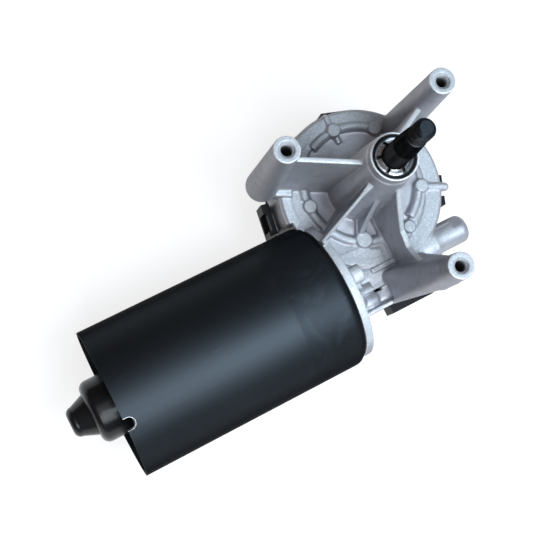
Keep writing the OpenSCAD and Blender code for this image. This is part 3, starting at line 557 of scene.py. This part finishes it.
def ridge_ring():
    """Straight ridges round Z that lean with a cone: the knurl."""
    r = Recipe("ridge_ring", [
        ("Low Radius", "NodeSocketFloat"), ("High Radius", "NodeSocketFloat"), ("Height", "NodeSocketFloat"),
        ("Count", "NodeSocketInt"), ("Ridge", "NodeSocketFloat"), ("Finish", "NodeSocketMaterial"),
    ])
    foot = r.step("ShaderNodeCombineXYZ", None, {0: r.given("Low Radius")})
    head = r.step("ShaderNodeCombineXYZ", None, {0: r.given("High Radius"), 2: r.given("Height")})
    line = r.step("GeometryNodeCurvePrimitiveLine", {"mode": "POINTS"}, {"Start": foot, "End": head})
    ridge = r.ridge_along(line)
    points = r.step("GeometryNodePoints", None, {"Count": r.given("Count")})
    index = r.step("GeometryNodeInputIndex")
    turn = r.sum("DIVIDE", r.sum("MULTIPLY", index, math.tau), r.given("Count"))
    spin = r.step("ShaderNodeCombineXYZ", None, {2: turn})
    spots = {"Points": points, "Instance": ridge, "Rotation": spin}
    return r.finish(r.step("GeometryNodeInstanceOnPoints", None, spots))


# Mesh helpers


def as_mesh(name, work):
    """Writes a bmesh to a new mesh and frees it."""
    mesh = bpy.data.meshes.new(name)
    work.to_mesh(mesh)
    work.free()
    return mesh


def join(name, meshes):
    """One object from several meshes."""
    whole = bmesh.new()
    for mesh in meshes:
        whole.from_mesh(mesh)
    return linked(name, as_mesh(name, whole))


def settle(obj):
    """Applies the modifiers of an object to its mesh."""
    graph = bpy.context.evaluated_depsgraph_get()
    bpy.context.view_layer.update()
    mesh = bpy.data.meshes.new_from_object(obj.evaluated_get(graph))
    obj.modifiers.clear()
    obj.data = mesh


def merged_copy(node):
    """A copy of a CAD node's mesh with its loose triangles joined up."""
    work = bmesh.new()
    work.from_mesh(nodes[node].data)
    bmesh.ops.remove_doubles(work, verts=work.verts, dist=1e-6)
    return as_mesh(node + "_copy", work)


def smooth(obj, angle):
    """Soft shading, with edges sharper than the angle kept."""
    for face in obj.data.polygons:
        face.use_smooth = True
    work = bmesh.new()
    work.from_mesh(obj.data)
    for edge in work.edges:
        edge.smooth = len(edge.link_faces) == 2 and edge.calc_face_angle(0.0) < math.radians(angle)
    work.to_mesh(obj.data)
    work.free()


def paint(obj, finish):
    """Gives an object one finish and no other."""
    obj.data.materials.clear()
    obj.data.materials.append(FINISHES[finish])


def add_piece(obj, body, slot, finish=None, stands_for=()):
    """Gives a piece its finish, named by the slot unless another is given, puts it on its body and hides the nodes
    that it stands for.
    """
    paint(obj, finish or slot)
    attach(obj, body)
    if stands_for:
        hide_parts(*stands_for)


def lathe(name, outline, steps=96):
    """A closed solid of revolution round Z from a list of (radius, height) pairs."""
    work = bmesh.new()
    rings = []
    for radius, height in outline:
        if radius <= 0:
            rings.append([work.verts.new((0, 0, height))])
        else:
            turns = [k * math.tau / steps for k in range(steps)]
            ring = [(radius * math.cos(turn), radius * math.sin(turn), height) for turn in turns]
            rings.append([work.verts.new(point) for point in ring])
    for low, high in zip(rings, rings[1:]):
        for k in range(steps):
            n = (k + 1) % steps
            corners = [low[k % len(low)], low[n % len(low)], high[n % len(high)], high[k % len(high)]]
            unique = list(dict.fromkeys(corners))
            if len(unique) > 2:
                work.faces.new(unique)
    bmesh.ops.recalc_face_normals(work, faces=work.faces)
    return as_mesh(name, work)


def skin(name, rings, closed=False):
    """A mesh between successive rings of points; its ends are capped unless the rings close up."""
    work = bmesh.new()
    loops = [[work.verts.new(point) for point in ring] for ring in rings]
    pairs = list(zip(loops, loops[1:]))
    if closed:
        pairs.append((loops[-1], loops[0]))
    else:
        work.faces.new(loops[0])
        work.faces.new(loops[-1])
    for low, high in pairs:
        for k in range(len(low)):
            n = (k + 1) % len(low)
            work.faces.new((low[k], low[n], high[n], high[k]))
    bmesh.ops.recalc_face_normals(work, faces=work.faces)
    return as_mesh(name, work)


def tube(path, radii, sides=20):
    """A round bar along a path of points, with a radius at each point."""
    rings = []
    for i, point in enumerate(path):
        ahead = path[min(i + 1, len(path) - 1)] - path[max(i - 1, 0)]
        side = ahead.cross(Vector((0, 0, 1))).normalized()
        up = side.cross(ahead).normalized()
        turns = [k * math.tau / sides for k in range(sides)]
        rings.append([point + radii[i] * (side * math.cos(t) + up * math.sin(t)) for t in turns])
    return skin("bar", rings)


def block(low, corners):
    """A block with a level underside and a top through the given corners, in millimetres."""
    foot = [Vector((x, y, low)) * MM for x, y, z in corners]
    return skin("block", [foot, [Vector(corner) * MM for corner in corners]])


def boss(y, z, run):
    """A round bar along X whose radius changes, in millimetres."""
    return tube([Vector((x, y, z)) * MM for x, radius in run], [radius * MM for x, radius in run])


def on_circle(centre, radius, turn, z):
    """A point on a level circle, from millimetres."""
    return Vector((centre[0] + radius * math.cos(turn), centre[1] + radius * math.sin(turn), z)) * MM


def pad(x, y, radius, low, top, sides=40, chamfer=0.4):
    """A low round pad with a chamfered top, in millimetres."""
    turns = [k * math.tau / sides for k in range(sides)]
    levels = ((radius, low), (radius, top - chamfer), (radius - chamfer, top))
    return skin("pad", [[on_circle((x, y), r, turn, z) for turn in turns] for r, z in levels])


# Pieces


def roof_relief():
    """Raised ribs, pads, shelf and bosses on the roof, fuller than on the solid."""
    parts = []
    for start, end in RIB_SPANS:
        steps = max(4, round((end - start) / 3))
        turns = [math.radians(start + (end - start) * k / steps) for k in range(steps + 1)]
        path = [on_circle(RING, RING_R, turn, RIB_Z) for turn in turns]
        parts.append(tube(path, [RIB_R * MM] * len(path)))
    for x, y, radius in PADS:
        parts.append(pad(x, y, radius + PAD_EXTRA, RELIEF_FOOT, PAD_TOP))
    shelf = []
    for k in range(120):
        turn = k * math.tau / 120
        inner = [on_circle(RING, RING_R, turn, z) for z in (RELIEF_FOOT, SHELF_INNER)]
        outer = [on_circle(DRUM, DRUM_R, turn, z) for z in (SHELF_OUTER, RELIEF_FOOT)]
        shelf.append(inner + outer)
    parts.append(skin("shelf", shelf, closed=True))
    parts += [block(*WORM_SLOPE), block(*BLASTED_PANEL), boss(*BOLT_BOSS), boss(*LEAD_BOSS)]
    parts += [block(*ISLAND_SLOPE), block(*POCKET_END)]
    # Nothing added reaches into the bores on the motor axis
    for part in parts:
        for vertex in part.vertices:
            away = Vector((0, vertex.co.y - AXIS_Y, vertex.co.z - AXIS_Z))
            if 0 < away.length < BORE_ROOM * MM:
                vertex.co += away.normalized() * BORE_ROOM * MM - away
    return parts


def narrow_web(mesh, angle, start, end):
    """Drafts the web that lies at an angle: its sides close in toward its top edge."""
    along_x, along_y = math.cos(math.radians(angle)), math.sin(math.radians(angle))
    start, end = start * MM, end * MM
    foot, half_width, blend_length, draft = 0.072, 2.6 * MM, 5 * MM, 0.45
    for vertex in mesh.vertices:
        x, y, z = vertex.co
        along, across = x * along_x + y * along_y, y * along_x - x * along_y
        # The top edge leaves the hub, 9 mm out, at a height of -18 mm, and falls by 1.28 mm for each mm outward
        top = (-18 - (along / MM - 9) * 1.28) * MM
        if start < along < end and abs(across) < half_width and z > -foot:
            rise = min(1.0, (z + foot) / max(0.004, top + foot))
            share = draft * rise * min(1.0, (along - start) / blend_length)
            vertex.co.x += across * share * along_y
            vertex.co.y -= across * share * along_x


def casting():
    """The housing with the soft fillets of a casting: the solid is remeshed finely and relaxed."""
    piece = join("housing_casting", [merged_copy("gear_housing"), *roof_relief()])
    voxels = piece.modifiers.new("fillets", "REMESH")
    voxels.mode = "VOXEL"
    relax = piece.modifiers.new("relax", "SMOOTH")
    relax.factor = 0.5
    thin = piece.modifiers.new("thin", "DECIMATE")
    voxels.voxel_size, relax.iterations, thin.ratio = CASTING_FULL
    settle(piece)
    narrow_web(piece.data, *WEB_SPAN)
    for face in piece.data.polygons:
        face.use_smooth = True
    add_piece(piece, "housing", "die_cast", stands_for=["gear_housing"])


def shaft():
    """Output shaft with its knurled cone and the thread at the tip."""
    thread_start = SHAFT_TIP - THREAD_LEN
    cone_start = thread_start - CONE_LEN
    cone_end = thread_start - 1.6 * MM
    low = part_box("output_shaft")[0].z
    step_z = -93.8 * MM
    neck = SHAFT_R - 1.2 * MM
    core = THREAD_R - 0.55 * MM
    body = lathe("shaft_body", [
        (0, low), (SHAFT_R - 1.7 * MM, low), (neck, low + 0.5 * MM), (neck, step_z),
        (SHAFT_R, step_z), (SHAFT_R, cone_start - 0.6 * MM), (SHAFT_R - 0.35 * MM, cone_start),
        (CONE_TOP_R - 0.3 * MM, cone_end), (core, cone_end + 0.4 * MM), (core, SHAFT_TIP - 1.2 * MM),
        (THREAD_R - 1.5 * MM, SHAFT_TIP - 0.3 * MM), (THREAD_R - 1.9 * MM, SHAFT_TIP), (0, SHAFT_TIP),
    ])
    steel = FINISHES["dark_steel"]
    knurl = ridge_ring().make("shaft_knurl", {
        "Low Radius": SHAFT_R - 0.34 * MM, "High Radius": CONE_TOP_R - 0.36 * MM,
        "Height": cone_end - cone_start - 0.8 * MM, "Count": KNURLS, "Ridge": KNURL_RIDGE, "Finish": steel,
    }, Matrix.Translation((0, 0, cone_start + 0.4 * MM)))
    thread = screw_thread().make("shaft_thread", {
        "Radius": core + 0.02 * MM, "Height": THREAD_TURNS * THREAD_PITCH, "Turns": THREAD_TURNS,
        "Ridge": THREAD_RIDGE, "Finish": steel,
    }, Matrix.Translation((0, 0, thread_start + 0.6 * MM)))
    piece = join("output_shaft_detail", [body, knurl.data, thread.data])
    for part in (knurl, thread):
        bpy.data.objects.remove(part)
    smooth(piece, 35)
    add_piece(piece, "output", "dark_steel", stands_for=["output_shaft"])


def star_washer():
    """Spring washer in the collar, with tongues that grip the shaft, and the seal round it."""
    low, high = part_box("star_washer")
    base, reach = low.z, high.z - low.z

    def at(radius, share):
        """Radius in millimetres, and height as a share of the washer's."""
        return radius * MM, base + share * reach

    lip = [(9.4, 0.0), (9.4, 0.45), (9.15, 0.6), (8.95, 0.45), (8.8, 0.15), (8.6, 0.15), (8.6, 0.0), (9.4, 0.0)]
    parts = [lathe("washer_ring", [at(*point) for point in lip], 120)]
    width = 360 / TONGUES
    for k in range(TONGUES):
        start = math.radians(FIRST_SLOT + width * k + SLOT_HALF)
        end = math.radians(FIRST_SLOT + width * (k + 1) - SLOT_HALF)
        rows = []
        for step in range(13):
            turn = start + (end - start) * step / 12
            tip = 6.5 + 0.25 * abs(step - 6) / 6
            top = [(8.7, 0.0), (8.7, 0.2), (8.2, 0.3), (7.8, 0.52), (7.1, 0.84), (tip, 1.0)]
            section = [at(*point) for point in (*top, (tip, 0.8), (7.1, 0.62), (7.8, 0.2))]
            rows.append([Vector((r * math.cos(turn), r * math.sin(turn), z)) for r, z in section])
        parts.append(skin("tongue", rows))
    washer = join("star_washer_detail", parts)
    smooth(washer, 35)
    add_piece(washer, "housing", "bright_steel", stands_for=["star_washer"])
    seat = base + 0.02 * MM
    inner, outer = 9.45 * MM, 10.85 * MM
    slope = [at(10.85, 0.15), at(10.2, 0.3), at(9.45, 0.15)]
    seal = join("collar_seal", [lathe("seal", [(inner, seat), (outer, seat), *slope, (inner, seat)])])
    smooth(seal, 35)
    add_piece(seal, "housing", "black_rubber")


def tapped_threads():
    """The M8 threads that show inside the three posts."""
    recipe = screw_thread()
    length = TAP_TURNS * TAP_PITCH
    values = {
        "Radius": TAP_R + 0.12 * MM, "Height": length, "Turns": TAP_TURNS, "Ridge": TAP_RIDGE,
        "Finish": FINISHES["tap_steel"],
    }
    coils = [
        recipe.make("tap_" + label, values, Matrix.Translation((x * MM, y * MM, -length - 0.6 * MM)))
        for label, (x, y) in POSTS.items()
    ]
    piece = join("post_threads", [coil.data for coil in coils])
    for coil in coils:
        bpy.data.objects.remove(coil)
    smooth(piece, 50)
    add_piece(piece, "housing", "die_cast", "tap_steel")


# Camera, light and floor


def camera():
    """The camera that was fitted to the photograph."""
    right = Vector((0.87264, -0.45425, 0.17933))
    down = Vector((-0.43074, -0.88894, -0.15573))
    ahead = Vector((0.23015, 0.05865, -0.97139))
    place = (-0.185888, -0.052663, 0.448618)
    data = bpy.data.cameras.new("camera")
    data.sensor_width = 36.0
    data.lens = 68.238
    data.clip_start, data.clip_end = 0.01, 10.0
    made = linked("camera", data)
    turn = Matrix((right, -down, -ahead)).transposed().to_4x4()
    made.matrix_world = Matrix.Translation(place) @ turn
    scene.camera = made


def soft_lamp(name, place, aim, size, power, colour):
    """A rectangular lamp that faces a point; sizes in metres, power in watts."""
    data = bpy.data.lights.new(name, "AREA")
    data.shape = "RECTANGLE"
    data.size, data.size_y = size
    data.energy, data.color = power, colour
    made = linked(name, data)
    made.location = place
    made.rotation_euler = (Vector(aim) - Vector(place)).to_track_quat("-Z", "Y").to_euler()


def seen_ray(f):
    """1 for rays from the camera and for those that metal and glass show, 0 for light."""
    path = f.node("ShaderNodeLightPath").socket.node.outputs
    kinds = ("Is Camera Ray", "Is Glossy Ray", "Is Transmission Ray")
    camera_ray, glossy, through = (Wire(f, path[kind]) for kind in kinds)
    return camera_ray.at_least(glossy).at_least(through)


def studio():
    """Three soft lamps, and a dim world that is cooler to the right and shows as white."""
    centre = Vector((-0.06, -0.02, -0.07))
    soft_lamp("window", (0.20, -0.46, 0.90), centre, (0.50, 0.62), 11.2, (0.72, 0.87, 1.0))
    soft_lamp("front", (-0.30, -0.65, 0.75), centre, (0.60, 0.50), 4.6, (0.90, 0.95, 1.0))
    soft_lamp("ceiling", (-0.22, -0.22, 1.20), centre, (0.90, 0.90), 2.8, (0.96, 0.97, 1.0))
    world = bpy.data.worlds.new("studio")
    world.use_nodes = True
    scene.world = world
    f = Finish("studio", world.node_tree)
    x, y, z = f.axes(f.place("Generated"))
    cool = (x * 0.45 - y * 0.45 + z * 0.5 + 0.5).ramp(0.0, 1.1)
    sky = f.blend(cool, (0.13, 0.088, 0.060), (0.24, 0.27, 0.31))
    light = f.node("ShaderNodeBackground", None, {"Color": sky, "Strength": 0.76})
    white = f.node("ShaderNodeBackground", None, {"Color": (1, 1, 1), "Strength": 1.0})
    camera_ray = f.node("ShaderNodeLightPath", out="Is Camera Ray")
    shown = f.node("ShaderNodeMixShader", None, {0: camera_ray, 1: light, 2: white})
    f.node("ShaderNodeOutputWorld", None, {"Surface": shown}, out=None)


def floor():
    """Pale floor that reads as white, keeps a soft shadow and is clear from below."""
    work = bmesh.new()
    bmesh.ops.create_grid(work, x_segments=1, y_segments=1, size=12.0)
    mesh = as_mesh("floor", work)
    mesh.transform(Matrix.Translation((0, 0, cad_box[0].z - 0.0004)))
    made = linked("floor", mesh)
    f = Finish("floor")
    # Darker for light than for the eye, so that the sides of the part keep their shade
    paper = f.node("ShaderNodeBsdfDiffuse", None, {"Color": (0.24, 0.24, 0.24)})
    faint = f.node("ShaderNodeBsdfDiffuse", None, {"Color": (0.30, 0.30, 0.30)})
    glow = f.node("ShaderNodeEmission", None, {"Color": (1, 1, 1), "Strength": 0.80})
    bright = f.node("ShaderNodeAddShader", None, {0: faint, 1: glow})
    shown = f.node("ShaderNodeMixShader", None, {0: seen_ray(f), 1: paper, 2: bright})
    clear = f.node("ShaderNodeBsdfTransparent")
    below = f.node("ShaderNodeNewGeometry", out="Backfacing")
    shown = f.node("ShaderNodeMixShader", None, {0: below, 1: shown, 2: clear})
    f.node("ShaderNodeOutputMaterial", None, {"Surface": shown}, out=None)
    mesh.materials.append(f.material)


def carried_over():
    """Each CAD node that stays gets the finish that its record slot names."""
    for part in frame["record"]["subparts"]:
        paint(nodes[part["node"]], part["material_slot"])


camera()
scene.view_settings.view_transform = "Standard"
carried_over()
casting()
tapped_threads()
shaft()
star_washer()
studio()
floor()
